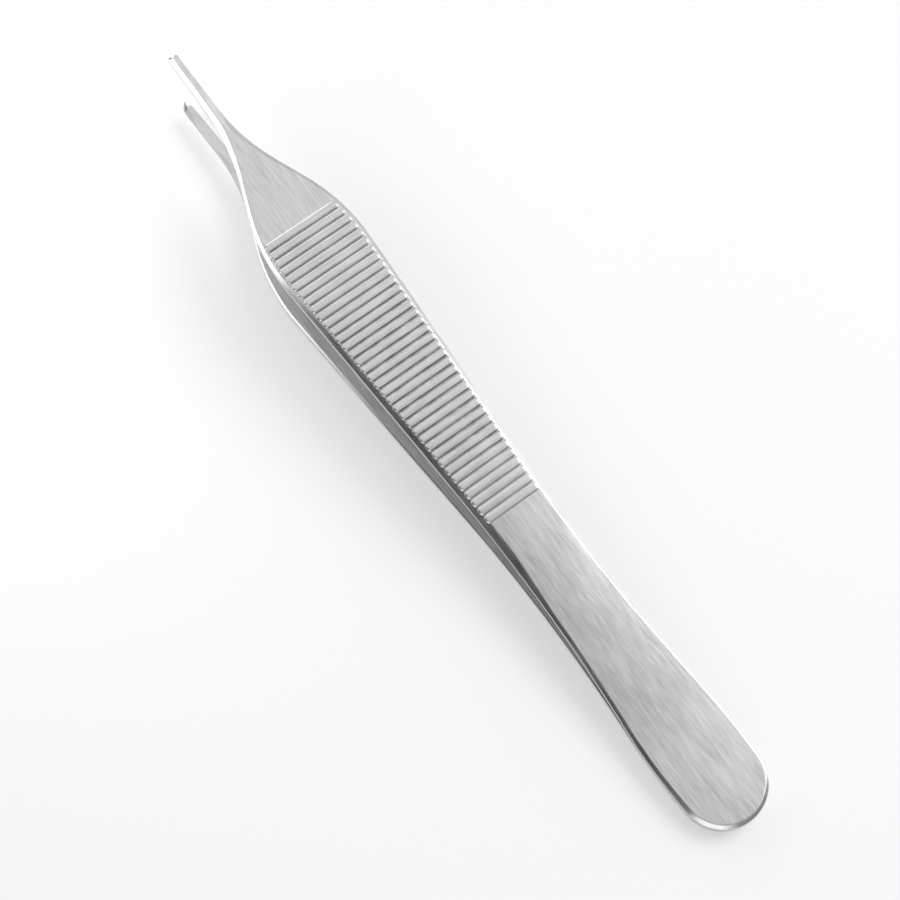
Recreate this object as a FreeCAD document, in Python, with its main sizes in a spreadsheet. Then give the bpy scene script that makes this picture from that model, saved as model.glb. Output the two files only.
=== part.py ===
"""Thumb tissue forceps: two sprung steel arms welded face to face at the tail.

Each arm is a strip with a plan outline (seen from above) and a side profile (seen from the
flank). Their common solid gets eased edges, ground flanks on the neck and beak, a grip of
raised flat-topped ribs and, at the tip, teeth that mesh with those of the other arm.
Lengths are in millimetres. X runs from the tail to the tips, Z is up, Y is across.
"""
import FreeCAD, Part
import math
import os
import Sketcher

os.makedirs("parts", exist_ok=True)
doc = FreeCAD.newDocument("thumb_forceps")
V = FreeCAD.Vector

# Driving dimensions, one row each: name, value, what it is
SIZES = [
    ("length", 120.0, "tail end to the root of the tip teeth"),
    ("tail_radius", 5.45, "round end of the tail"),
    ("tail_blend", 82.0, "arc from the tail's round end to the flank"),
    ("waist_radius", 240.0, "hollow flank arc at the waist"),
    ("waist_x", 38.5, "narrowest place"),
    ("waist_half", 4.28, "half width at the narrowest place"),
    ("flank_angle", 2.9, "straight flank widening to the grip, degrees"),
    ("shoulder_radius", 28.0, "round shoulder at the front of the grip"),
    ("shoulder_back", 33.7, "shoulder's centre, back from the tip"),
    ("neck_angle", 21.2, "straight side of the neck, degrees"),
    ("neck_radius", 31.0, "hollow arc from the neck to the beak"),
    ("beak_angle", 0.7, "taper of the beak seen from above, degrees"),
    ("tip_half", 0.64, "half width of the beak at its end"),
    ("tail_thick", 1.2, "one arm's thickness at the weld"),
    ("weld_x", 12.4, "end of the weld, where the arms part"),
    ("bend_radius", 60.0, "bend of the arm where the weld ends"),
    ("shank_angle", 4.87, "rise of the outer face from the weld to the grip's bow, degrees"),
    ("shank_angle_in", 4.7, "rise of the inner face from the weld to the grip's bow, degrees"),
    ("grip_back", 24.4, "highest point of the bow, back from the tip"),
    ("peak", 5.95, "outer face over the middle plane at that point"),
    ("peak_in", 4.48, "inner face over the middle plane at that point"),
    ("beak_bend", 60.0, "bend of the arm where the beak starts"),
    ("splay_angle", 6.2, "splay of the beak's outer face, degrees"),
    ("splay_angle_in", 6.9, "splay of the beak's inner face, degrees"),
    ("tip_out", 7.56, "outer face over the middle plane at the tip"),
    ("tip_in", 6.5, "inner face over the middle plane at the tip"),
    ("outer_bevel", 0.45, "eased edge round the outer face"),
    ("inner_bevel", 0.12, "broken edge round the inner face"),
    ("flank_run", 23.5, "length of the ground flanks, back from the tip"),
    ("flank_wide", 0.86, "widest bevel of the ground flanks, seen from above"),
    ("flank_deep", 0.84, "deepest bevel of the ground flanks, down the wall"),
    ("rib_count", 36, "ribs on each arm"),
    ("rib_back", 29.02, "middle of the front rib, back from the tip"),
    ("rib_pitch", 1.264, "rib to rib along the bow"),
    ("rib_width", 0.92, "width of a rib where it leaves the face"),
    ("rib_height", 0.28, "height of a rib over the face"),
    ("rib_land", 0.48, "width of the polished top of a rib"),
    ("rib_crown", 0.02, "rise of the middle of that top over its edges"),
    ("rib_wall", 0.1, "upright side of a rib, under its sloping shoulder"),
    ("rib_margin", 0.5, "plain edge left beside the ends of the ribs"),
    ("rib_round", 0.2, "corner taken off the ends of a rib, seen from above"),
    ("tooth_place", 0.2, "the lower tooth's place across the tip"),
    ("tooth_width", 0.56, "width of the lower tooth at its root"),
    ("tooth_height", 1.3, "height of the lower tooth"),
    ("tooth_depth", 0.9, "root of a tooth along the beak"),
    ("tooth_past", 0.22, "how far a tooth's point stands past the end of the beak"),
    ("tooth_point", 0.14, "blunt point of a tooth along the beak"),
    ("tooth_sunk", 0.25, "root of a tooth inside the beak"),
    ("tooth_inset", 0.02, "root of a tooth behind the end of the beak"),
    ("fork_height", 0.9, "height of the upper arm's two teeth"),
]
sheet = doc.addObject("Spreadsheet::Sheet", "dims")
for row, (name, value, note) in enumerate(SIZES, start=1):
    sheet.set(f"A{row}", note)
    sheet.set(f"B{row}", str(value))
    sheet.setAlias(f"B{row}", name)
doc.recompute()


def size(name):
    """The sheet's own value of one driving dimension."""
    return float(getattr(sheet, name))


length = size("length")


# Tangent points of the plan outline (half of it, on the +Y side)
def plan_points():
    tail_r, blend_r, waist_r = size("tail_radius"), size("tail_blend"), size("waist_radius")
    flank, neck, taper = (math.radians(size(k)) for k in ("flank_angle", "neck_angle", "beak_angle"))
    shoulder_r, neck_r = size("shoulder_radius"), size("neck_radius")
    tail = V(tail_r, 0, 0)
    waist = V(size("waist_x"), size("waist_half") + waist_r, 0)
    # the blend arc holds the tail's arc inside it and touches the waist arc from outside
    near, far = blend_r - tail_r, blend_r + waist_r
    step = waist - tail
    along = (near ** 2 - far ** 2 + step.Length ** 2) / (2 * step.Length)
    aside = math.sqrt(near ** 2 - along ** 2)
    unit = step / step.Length
    blend = tail + unit * along + V(unit.y, -unit.x, 0) * aside
    out = {"tail": tail, "waist": waist, "blend": blend}
    out["p12"] = blend + (tail - blend).normalize() * blend_r
    out["p23"] = blend + (waist - blend).normalize() * blend_r
    out["p34"] = waist + V(math.sin(flank), -math.cos(flank), 0) * waist_r
    shoulder_x = length - size("shoulder_back")
    line_y = out["p34"].y + math.tan(flank) * (shoulder_x - out["p34"].x)
    shoulder = V(shoulder_x, line_y - shoulder_r / math.cos(flank), 0)
    out["shoulder"] = shoulder
    out["p45"] = shoulder + V(-math.sin(flank), math.cos(flank), 0) * shoulder_r
    side6, side8 = V(math.sin(neck), math.cos(neck), 0), V(math.sin(taper), math.cos(taper), 0)
    out["p56"] = shoulder + side6 * shoulder_r
    tip = V(length, size("tip_half"), 0)
    # the hollow arc's centre lies its radius off the neck's line and off the beak's line
    c6, c8 = out["p56"].dot(side6) + neck_r, tip.dot(side8) + neck_r
    det = side6.x * side8.y - side6.y * side8.x
    hollow = V((c6 * side8.y - side6.y * c8) / det, (side6.x * c8 - c6 * side8.x) / det, 0)
    out["hollow"] = hollow
    out["p67"], out["p78"], out["tip"] = hollow - side6 * neck_r, hollow - side8 * neck_r, tip
    return out


# Tangent points of one face in the side profile: the bow's radius is the one that touches
# the straight shank and has its highest point at the grip
def side_points(start, slope, top, splay, end):
    bend_r, beak_r = size("bend_radius"), size("beak_bend")
    weld_x, grip_x = size("weld_x"), length - size("grip_back")
    slope, rise = math.radians(slope), math.radians(splay)
    run_left = grip_x - weld_x - bend_r * math.sin(slope)
    rise_left = top - start - bend_r * (1 - math.cos(slope))
    bow_r = (run_left * math.sin(slope) - rise_left * math.cos(slope)) / (1 - math.cos(slope))
    bend, bow = V(weld_x, start + bend_r, 0), V(grip_x, top - bow_r, 0)
    up = V(-math.sin(slope), math.cos(slope), 0)
    out = {"bend": bend, "bow": bow, "p0": V(0, start, 0), "p12": V(weld_x, start, 0)}
    out["p23"], out["p34"], out["p45"] = bend - up * bend_r, bow + up * bow_r, V(grip_x, top, 0)
    beak_up = V(-math.sin(rise), math.cos(rise), 0)
    x6 = length + ((top + beak_r - end) * math.cos(rise) - beak_r) / math.sin(rise)
    out["beak"], out["p56"] = V(x6, top + beak_r, 0), V(x6, top, 0)
    out["p67"], out["tip"] = out["beak"] - beak_up * beak_r, V(length, end, 0)
    return out


plan = plan_points()
OUTER_NAMES = ("shank_angle", "peak", "splay_angle", "tip_out")
INNER_NAMES = ("shank_angle_in", "peak_in", "splay_angle_in", "tip_in")
outer = side_points(size("tail_thick"), *(size(name) for name in OUTER_NAMES))
inner = side_points(0.0, *(size(name) for name in INNER_NAMES))


def on_arc(centre, point, x):
    """Height at x of the arc about centre that passes through point."""
    radius = (point - centre).Length
    side = 1 if point.y > centre.y else -1
    return centre.y + side * math.sqrt(radius ** 2 - (x - centre.x) ** 2)


def on_line(a, b, x):
    return a.y + (b.y - a.y) * (x - a.x) / (b.x - a.x)


def half_width(x):
    """Half width of the arm at x."""
    p = plan
    if x < p["p23"].x:
        return on_arc(p["blend"], p["p23"], x)
    if x < p["p34"].x:
        return on_arc(p["waist"], p["p34"], x)
    if x < p["p45"].x:
        return on_line(p["p34"], p["p45"], x)
    if x < p["p56"].x:
        return on_arc(p["shoulder"], p["p56"], x)
    if x < p["p67"].x:
        return on_line(p["p56"], p["p67"], x)
    if x < p["p78"].x:
        return on_arc(p["hollow"], p["p78"], x)
    return on_line(p["p78"], p["tip"], x)


def face_height(x):
    """Outer face over the middle plane at x, from the grip forward."""
    p = outer
    if x < p["p45"].x:
        return on_arc(p["bow"], p["p45"], x)
    if x < p["p56"].x:
        return p["p45"].y
    if x < p["p67"].x:
        return on_arc(p["beak"], p["p67"], x)
    return on_line(p["p67"], p["tip"], x)


# Drawing helpers: a chain of lines and arcs with tangent joints and named sizes
class Chain:
    def __init__(self, sketch):
        self.sketch = sketch

    def line(self, a, b):
        number = self.sketch.addGeometry(Part.LineSegment(a, b), False)
        return (number, 1, 2)

    def arc(self, centre, a, b, turning_left):
        radius = (a - centre).Length
        first, last = (a, b) if turning_left else (b, a)
        angle0 = math.atan2(first.y - centre.y, first.x - centre.x)
        angle1 = math.atan2(last.y - centre.y, last.x - centre.x)
        circle = Part.Circle(centre, V(0, 0, 1), radius)
        number = self.sketch.addGeometry(Part.ArcOfCircle(circle, angle0, angle1), False)
        return (number, 1, 2) if turning_left else (number, 2, 1)

    def join(self, one, two, kind="Tangent"):
        self.sketch.addConstraint(Sketcher.Constraint(kind, one[0], one[2], two[0], two[1]))

    def fix(self, kind, *where, to=None, value=0.0):
        number = self.sketch.addConstraint(Sketcher.Constraint(kind, *where, value))
        if to:
            label = f"{to}_{number}"
            self.sketch.renameConstraint(number, label)
            self.sketch.setExpression(f"Constraints.{label}", f"dims.{to}")

    def flat(self, kind, number):
        self.sketch.addConstraint(Sketcher.Constraint(kind, number))


def origin_plane(body, role):
    return next(f for f in body.Origin.OriginFeatures if f.Role == role)


def sketch_on(body, role, name):
    sketch = body.newObject("Sketcher::SketchObject", name)
    sketch.AttachmentSupport = [(origin_plane(body, role), "")]
    sketch.MapMode = "FlatFace"
    return sketch


# Plan outline of one half, padded and mirrored into a tall prism
plan_body = doc.addObject("PartDesign::Body", "plan_body")
sk = sketch_on(plan_body, "XY_Plane", "plan_outline")
c = Chain(sk)
p = plan
zero = V(0, 0, 0)
tail = c.arc(p["tail"], zero, p["p12"], False)
blend = c.arc(p["blend"], p["p12"], p["p23"], False)
waist = c.arc(p["waist"], p["p23"], p["p34"], True)
flank = c.line(p["p34"], p["p45"])
shoulder = c.arc(p["shoulder"], p["p45"], p["p56"], False)
neck = c.line(p["p56"], p["p67"])
hollow = c.arc(p["hollow"], p["p67"], p["p78"], True)
beak = c.line(p["p78"], p["tip"])
end = c.line(p["tip"], V(length, 0, 0))
spine = c.line(V(length, 0, 0), zero)
smooth = [tail, blend, waist, flank, shoulder, neck, hollow, beak]
for one, two in zip(smooth, smooth[1:]):
    c.join(one, two)
for one, two in ((beak, end), (end, spine), (spine, tail)):
    c.join(one, two, "Coincident")
c.flat("Vertical", end[0])
c.flat("Horizontal", spine[0])
sk.addConstraint(Sketcher.Constraint("Coincident", spine[0], 2, -1, 1))
sk.addConstraint(Sketcher.Constraint("PointOnObject", tail[0], 3, -1))
c.fix("DistanceX", spine[0], 2, spine[0], 1, to="length", value=length)
arcs = ((tail, "tail_radius"), (blend, "tail_blend"), (waist, "waist_radius"))
arcs += ((shoulder, "shoulder_radius"), (hollow, "neck_radius"))
for piece, name in arcs:
    c.fix("Radius", piece[0], to=name, value=size(name))
c.fix("DistanceX", -1, 1, waist[0], 3, to="waist_x", value=size("waist_x"))
number = sk.addConstraint(Sketcher.Constraint("DistanceY", -1, 1, waist[0], 3, p["waist"].y))
sk.renameConstraint(number, "waist_centre")
sk.setExpression("Constraints.waist_centre", "dims.waist_half + dims.waist_radius")
c.fix("DistanceX", shoulder[0], 3, spine[0], 1, to="shoulder_back", value=size("shoulder_back"))
c.fix("DistanceY", end[0], 2, end[0], 1, to="tip_half", value=size("tip_half"))
for piece, name, sign in ((flank, "flank_angle", 1), (neck, "neck_angle", -1), (beak, "beak_angle", -1)):
    angle = sign * size(name)
    number = sk.addConstraint(Sketcher.Constraint("Angle", piece[0], math.radians(angle)))
    sk.renameConstraint(number, name)
    sk.setExpression(f"Constraints.{name}", f"{sign} * dims.{name} * 1 deg")
pad = plan_body.newObject("PartDesign::Pad", "plan_half")
pad.Profile = sk
pad.setExpression("Length", "dims.tip_out + dims.peak")
pad.Midplane = False
mirrored = plan_body.newObject("PartDesign::Mirrored", "plan_both")
mirrored.Originals = [pad]
mirrored.MirrorPlane = (origin_plane(plan_body, "XZ_Plane"), [""])
plan_body.Tip = mirrored
doc.recompute()

# Side profile, padded across the whole width
side_body = doc.addObject("PartDesign::Body", "side_body")
sk = sketch_on(side_body, "XZ_Plane", "side_profile")
c = Chain(sk)
faces = []
for p, names in ((outer, OUTER_NAMES), (inner, INNER_NAMES)):
    flat = c.line(p["p0"], p["p12"])
    bend = c.arc(p["bend"], p["p12"], p["p23"], True)
    slope = c.line(p["p23"], p["p34"])
    bow = c.arc(p["bow"], p["p34"], p["p45"], False)
    level = c.line(p["p45"], p["p56"])
    turn = c.arc(p["beak"], p["p56"], p["p67"], True)
    jaw = c.line(p["p67"], p["tip"])
    run = [flat, bend, slope, bow, level, turn, jaw]
    for one, two in zip(run, run[1:]):
        c.join(one, two)
    c.flat("Horizontal", flat[0])
    c.flat("Horizontal", level[0])
    c.fix("DistanceX", -1, 1, flat[0], 2, to="weld_x", value=size("weld_x"))
    c.fix("Radius", bend[0], to="bend_radius", value=size("bend_radius"))
    c.fix("Radius", turn[0], to="beak_bend", value=size("beak_bend"))
    c.fix("DistanceX", bow[0], 3, jaw[0], 2, to="grip_back", value=size("grip_back"))
    c.fix("DistanceY", -1, 1, level[0], 1, to=names[1], value=size(names[1]))
    for piece, name in ((slope, names[0]), (jaw, names[2])):
        number = sk.addConstraint(Sketcher.Constraint("Angle", piece[0], math.radians(size(name))))
        sk.renameConstraint(number, name)
        sk.setExpression(f"Constraints.{name}", f"dims.{name} * 1 deg")
    c.fix("DistanceY", -1, 1, jaw[0], 2, to=names[3], value=size(names[3]))
    faces.append(run)
tip_line = c.line(outer["tip"], inner["tip"])
tail_line = c.line(inner["p0"], outer["p0"])
c.join(faces[0][-1], tip_line, "Coincident")
sk.addConstraint(Sketcher.Constraint("Coincident", tip_line[0], 2, faces[1][-1][0], 2))
sk.addConstraint(Sketcher.Constraint("Coincident", tail_line[0], 1, faces[1][0][0], 1))
sk.addConstraint(Sketcher.Constraint("Coincident", tail_line[0], 2, faces[0][0][0], 1))
c.flat("Vertical", tip_line[0])
c.flat("Vertical", tail_line[0])
sk.addConstraint(Sketcher.Constraint("Coincident", tail_line[0], 1, -1, 1))
c.fix("DistanceY", tail_line[0], 1, tail_line[0], 2, to="tail_thick", value=size("tail_thick"))
c.fix("DistanceX", -1, 1, tip_line[0], 1, to="length", value=length)
slab = side_body.newObject("PartDesign::Pad", "side_slab")
slab.Profile = sk
slab.setExpression("Length", "4 * dims.tail_radius")
slab.Midplane = True
side_body.Tip = slab
doc.recompute()

# The plain arm is what the two prisms share
blank = doc.addObject("Part::MultiCommon", "arm_blank")
blank.Shapes = [plan_body, side_body]
doc.recompute()


# Eased edges: an edge belongs to the outer or the inner rim when a level face meets a wall
def level(face):
    """Height of the face's normal at its middle: near 1 or -1 on the broad faces."""
    u0, u1, v0, v1 = face.ParameterRange
    return face.normalAt((u0 + u1) / 2, (v0 + v1) / 2).z


rims = []
for number, edge in enumerate(blank.Shape.Edges, start=1):
    around = sorted(level(f) for f in blank.Shape.ancestorsOfType(edge, Part.Face))
    if abs(around[0]) < 0.1 and around[-1] > 0.9:
        rims.append((number, size("outer_bevel"), size("outer_bevel")))
    elif around[0] < -0.9 and abs(around[-1]) < 0.1:
        rims.append((number, size("inner_bevel"), size("inner_bevel")))
eased = doc.addObject("Part::Chamfer", "eased_edges")
eased.Base = blank
eased.Edges = rims
doc.recompute()
print("bow radii", round(outer["p45"].y - outer["bow"].y, 1), round(inner["p45"].y - inner["bow"].y, 1))
print("rim edges", len(rims), "eased volume", round(eased.Shape.Volume, 2))

# Ground flanks of the neck and beak: place along their run, width of the bevel seen from
# above and its depth down the wall, each as a share of the flanks' own size
FLANK = [
    (0.0, 0.23, 0.24),
    (0.15, 0.49, 0.48),
    (0.26, 0.67, 0.6),
    (0.345, 0.91, 0.71),
    (0.43, 1.0, 0.83),
    (0.53, 0.81, 0.93),
    (0.66, 0.7, 1.0),
    (1.04, 0.58, 1.0),
]
OVER = 0.3
cutters = []
for side in (1, -1):
    wires = []
    for along, wide_share, deep_share in FLANK:
        x = length - size("flank_run") * (1 - along)
        wide, deep = wide_share * size("flank_wide"), deep_share * size("flank_deep")
        edge, top = half_width(min(x, length)), face_height(x)
        high = V(x, side * (edge - wide * (1 + OVER)), top + deep * OVER)
        low = V(x, side * (edge + wide * OVER), top - deep * (1 + OVER))
        corner = V(x, low.y, high.z)
        wires.append(Part.makePolygon([high, low, corner, high]))
    cutters.append(Part.makeLoft(wires, True, True))
flank_tool = doc.addObject("Part::Feature", "flank_tool")
flank_tool.Shape = Part.makeCompound(cutters)
ground = doc.addObject("Part::Cut", "ground_arm")
ground.Base = eased
ground.Tool = flank_tool
doc.recompute()
print("ground volume", round(ground.Shape.Volume, 2))

# Ribs: nearly flat-topped bars sunk in the bowed face. A rib is what three prisms share: its section
# along the arm, the same slopes at its two ends, and its outline from above with cut corners.
RIB_ROOT = 0.15
EXTRA = 1.04
rise, half = size("rib_height"), size("rib_width") / 2
land, wall, cut = size("rib_land") / 2, size("rib_wall"), size("rib_round")
across = V(0, 1, 0)
bow = outer["bow"]
bow_radius = outer["p45"].y - bow.y


def prism(corners, along):
    """A straight prism that is centred on the plane of its corners."""
    corners = [corner - along / 2 for corner in corners]
    return Part.Face(Part.makePolygon(corners + corners[:1])).extrude(along)


def bar_section(reach, inset, top):
    """A slope over an upright side, as (place, height) pairs; the other side is its mirror."""
    right = [(reach, -RIB_ROOT), (reach, wall), (reach - inset, top)]
    return [(-a, b) for a, b in right[::-1]] + right


slope = half - land
section = bar_section(half, slope, rise - size("rib_crown")) + [(0, rise)]


ribs, rib_places = [], []
for k in range(int(size("rib_count"))):
    turn = math.asin((bow.x - length + size("rib_back")) / bow_radius) + k * size("rib_pitch") / bow_radius
    out = V(-math.sin(turn), 0, math.cos(turn))
    ahead = V(out.z, 0, -out.x)
    foot = V(bow.x, 0, bow.y) + out * bow_radius
    rib_places.append(foot + out * rise)
    reach = half_width(foot.x) - size("rib_margin")
    end_section = bar_section(reach, 2 * slope, 2 * rise - wall)
    long_bar = prism([foot + ahead * a + out * b for a, b in section], across * 2 * reach * EXTRA)
    ends = prism([foot + across * a + out * b for a, b in end_section], ahead * 2 * half * EXTRA)
    quarter = [(half, reach - cut), (half - cut, reach)]
    outline = quarter + [(-a, b) for a, b in quarter[::-1]] + [(-a, -b) for a, b in quarter]
    outline += [(a, -b) for a, b in quarter[::-1]]
    upright = prism([foot + ahead * a + across * b for a, b in outline], out * 4 * (rise + RIB_ROOT))
    ribs.append(long_bar.common(ends).common(upright))
rib_bars = doc.addObject("Part::Feature", "rib_bars")
rib_bars.Shape = Part.makeCompound(ribs)
ribbed = doc.addObject("Part::MultiFuse", "ribbed_arm")
ribbed.Shapes = [ground, rib_bars]
doc.recompute()
print("ribbed volume", round(ribbed.Shape.Volume, 2))


# Width of a tooth's blunt point as a share of its root
POINT_SHARE = 0.16


def tooth(place, wide, high, side):
    """A tooth on the inner face at the tip; side is 1 for the lower arm, -1 for the upper."""
    root = -side * size("tip_in")
    back = length - size("tooth_depth")
    tip = length + size("tooth_past")
    low = (-size("tooth_sunk"), back, length - size("tooth_inset"), 1.0)
    top = (high, tip - size("tooth_point"), tip, POINT_SHARE)
    layers = []
    for lift, x0, x1, part in (low, top):
        y0, y1 = place - part * wide / 2, place + part * wide / 2
        z = root + side * lift
        corners = [V(x0, y0, z), V(x1, y0, z), V(x1, y1, z), V(x0, y1, z)]
        layers.append(Part.makePolygon(corners + corners[:1]))
    return Part.makeLoft(layers, True, True)


# The lower arm is the same strip turned over, with its single tooth
turned = doc.addObject("Part::Mirroring", "turned_arm")
turned.Source = ribbed
turned.Normal = V(0, 0, 1)
turned.Base = V(0, 0, 0)
doc.recompute()
gap, tip_half = size("tooth_width"), size("tip_half")
place = size("tooth_place")
single = doc.addObject("Part::Feature", "single_tooth")
single.Shape = tooth(place, gap, size("tooth_height"), 1)
fork = doc.addObject("Part::Feature", "fork_teeth")
prongs = []
for side in (1, -1):
    near, far = place + side * gap / 2, side * tip_half
    prongs.append(tooth((near + far) / 2, abs(far - near), size("fork_height"), -1))
fork.Shape = Part.makeCompound(prongs)
toothed = []
for name, arm, teeth in (("upper", ribbed, fork), ("lower", turned, single)):
    joined = doc.addObject("Part::MultiFuse", f"{name}_toothed")
    joined.Shapes = [arm, teeth]
    toothed.append(joined)
doc.recompute()

# Rest on the floor: the lower arm lies on its tail end and on the rib that sticks out most
heel = V(size("outer_bevel"), 0, size("tail_thick"))
tilt = max(math.atan2(r.z - heel.z, r.x - heel.x) for r in rib_places)
lean = FreeCAD.Rotation(V(0, 1, 0), -math.degrees(tilt))
laid = [FreeCAD.Placement(zero, lean) for _ in toothed]
shapes = []
for joined, where in zip(toothed, laid):
    shape = joined.Shape.copy()
    shape.Placement = where
    shapes.append(shape)
box = Part.makeCompound(shapes).optimalBoundingBox(False, False)
drop = V(-(box.XMin + box.XMax) / 2, -(box.YMin + box.YMax) / 2, -box.ZMin)
pieces = [solid for s in shapes for solid in s.Solids]
middle = sum(s.CenterOfMass.x * s.Volume for s in pieces) / sum(s.Volume for s in pieces)
print("tilt", round(math.degrees(tilt), 3), "box", box, "mass centre from the tail", round(middle, 2))

nodes = []
for name, joined in zip(("upper_arm", "lower_arm"), toothed):
    node = doc.addObject("Part::Feature", name)
    node.Label = name
    node.Shape = joined.Shape.copy()
    node.Placement = FreeCAD.Placement(drop, lean)
    nodes.append(node)
doc.recompute()

for item in doc.Objects:
    assert not ({"Invalid", "Error"} & set(item.State)), item.Name
for node in nodes:
    assert not node.Shape.isNull() and node.Shape.isValid(), node.Label
    print(node.Label, "solids", len(node.Shape.Solids), "faces", len(node.Shape.Faces),
          "volume", round(node.Shape.Volume, 2))
    node.Shape.exportStep(f"parts/{node.Label}.step")
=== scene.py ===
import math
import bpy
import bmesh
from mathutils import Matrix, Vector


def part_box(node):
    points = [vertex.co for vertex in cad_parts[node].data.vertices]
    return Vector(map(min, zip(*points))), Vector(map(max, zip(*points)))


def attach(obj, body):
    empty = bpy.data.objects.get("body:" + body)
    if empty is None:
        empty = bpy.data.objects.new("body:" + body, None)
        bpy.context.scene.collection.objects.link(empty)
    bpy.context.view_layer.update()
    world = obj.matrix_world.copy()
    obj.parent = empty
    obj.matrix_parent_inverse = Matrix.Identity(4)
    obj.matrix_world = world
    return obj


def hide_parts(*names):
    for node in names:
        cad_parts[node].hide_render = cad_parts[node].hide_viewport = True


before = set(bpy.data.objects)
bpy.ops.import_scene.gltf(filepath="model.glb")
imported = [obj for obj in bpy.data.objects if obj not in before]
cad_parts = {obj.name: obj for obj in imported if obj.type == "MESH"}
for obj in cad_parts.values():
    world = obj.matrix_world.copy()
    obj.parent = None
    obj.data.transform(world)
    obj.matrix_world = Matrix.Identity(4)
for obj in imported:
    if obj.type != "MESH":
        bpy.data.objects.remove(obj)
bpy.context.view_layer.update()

# %% [markdown]
# # Thumb forceps
# Two steel arms are welded face to face at a rounded tail, bow apart at a ribbed grip and come
# to slim toothed beaks. The imported model gives the place and the size of both arms. This script
# models the same two arms again with bevelled edges, brushed faces and round-ended ribs, and
# lights them on a white table as in the photograph.

# %% [markdown]
# ## The drawing
# A maker works from two views: the outline of the strip from above, and its bend from the side.
# Both are chains of straight lines and arcs that touch, so a few radii and angles give them
# whole. They are the model's sizes, in millimetres, with X from the tail to the tips and Z up
# from the plane in which the arms meet.

# %% Sizes of the plan and of the side
LENGTH = 120.0
TAIL_R, BLEND_R, WAIST_R = 5.45, 82.0, 240.0
WAIST_X, WAIST_HALF = 38.5, 4.28
FLANK_ANGLE, NECK_ANGLE, TAPER = (math.radians(a) for a in (2.9, 21.2, 0.7))
SHOULDER_R, SHOULDER_X = 28.0, LENGTH - 33.7
NECK_R, TIP_HALF = 31.0, 0.64
TAIL_THICK, WELD_X, BEND_R = 1.2, 12.4, 60.0
GRIP_X, BEAK_R = LENGTH - 24.4, 60.0
OUTER_FACE = {"start": TAIL_THICK, "slope": 4.87, "top": 5.95, "splay": 6.2, "end": 7.56}
INNER_FACE = {"start": 0.0, "slope": 4.7, "top": 4.48, "splay": 6.9, "end": 6.5}


def plan_outline():
    """Centres and touching points of the half outline, seen from above."""
    tail, waist = Vector((TAIL_R, 0)), Vector((WAIST_X, WAIST_HALF + WAIST_R))
    near, far = BLEND_R - TAIL_R, BLEND_R + WAIST_R
    step = waist - tail
    along = (near ** 2 - far ** 2 + step.length ** 2) / (2 * step.length)
    unit = step.normalized()
    blend = tail + unit * along + Vector((unit.y, -unit.x)) * math.sqrt(near ** 2 - along ** 2)
    out = {"tail": tail, "blend": blend, "waist": waist, "start": Vector((0, 0))}
    out["tail_end"] = blend + (tail - blend).normalized() * BLEND_R
    out["blend_end"] = blend + (waist - blend).normalized() * BLEND_R
    out["waist_end"] = waist + Vector((math.sin(FLANK_ANGLE), -math.cos(FLANK_ANGLE))) * WAIST_R
    line_y = out["waist_end"].y + math.tan(FLANK_ANGLE) * (SHOULDER_X - out["waist_end"].x)
    shoulder = Vector((SHOULDER_X, line_y - SHOULDER_R / math.cos(FLANK_ANGLE)))
    out["shoulder"] = shoulder
    out["flank_end"] = shoulder + Vector((-math.sin(FLANK_ANGLE), math.cos(FLANK_ANGLE))) * SHOULDER_R
    side_neck = Vector((math.sin(NECK_ANGLE), math.cos(NECK_ANGLE)))
    side_beak = Vector((math.sin(TAPER), math.cos(TAPER)))
    out["shoulder_end"] = shoulder + side_neck * SHOULDER_R
    out["tip"] = Vector((LENGTH, TIP_HALF))
    reach_neck = out["shoulder_end"].dot(side_neck) + NECK_R
    reach_beak = out["tip"].dot(side_beak) + NECK_R
    both = Matrix(((side_neck.x, side_neck.y), (side_beak.x, side_beak.y)))
    out["hollow"] = both.inverted() @ Vector((reach_neck, reach_beak))
    out["neck_end"] = out["hollow"] - side_neck * NECK_R
    out["hollow_end"] = out["hollow"] - side_beak * NECK_R
    return out


def side_outline(start, slope, top, splay, end):
    """Centres and touching points of one face, seen from the side."""
    slope, splay = math.radians(slope), math.radians(splay)
    run_left = GRIP_X - WELD_X - BEND_R * math.sin(slope)
    rise_left = top - start - BEND_R * (1 - math.cos(slope))
    bow_r = (run_left * math.sin(slope) - rise_left * math.cos(slope)) / (1 - math.cos(slope))
    bend, bow = Vector((WELD_X, start + BEND_R)), Vector((GRIP_X, top - bow_r))
    up = Vector((-math.sin(slope), math.cos(slope)))
    turn_x = LENGTH + ((top + BEAK_R - end) * math.cos(splay) - BEAK_R) / math.sin(splay)
    beak = Vector((turn_x, top + BEAK_R))
    beak_end = beak - Vector((-math.sin(splay), math.cos(splay))) * BEAK_R
    return {"start": start, "top": top, "end": end, "bend": bend, "bow": bow, "bow_r": bow_r,
            "bend_end": bend - up * BEND_R, "shank_end": bow + up * bow_r,
            "beak": beak, "beak_end": beak_end}


plan = plan_outline()
outer, inner = side_outline(**OUTER_FACE), side_outline(**INNER_FACE)
print("bow radii", round(outer["bow_r"], 1), round(inner["bow_r"], 1))


# %% [markdown]
# Two small functions read the drawing: the half width of the strip at a place along it, and the
# height of a face there. Everything that follows the arm, such as the ribs, asks them.

# %% Reading the drawing
def on_line(a, b, x):
    return a.y + (b.y - a.y) * (x - a.x) / (b.x - a.x)


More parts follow.
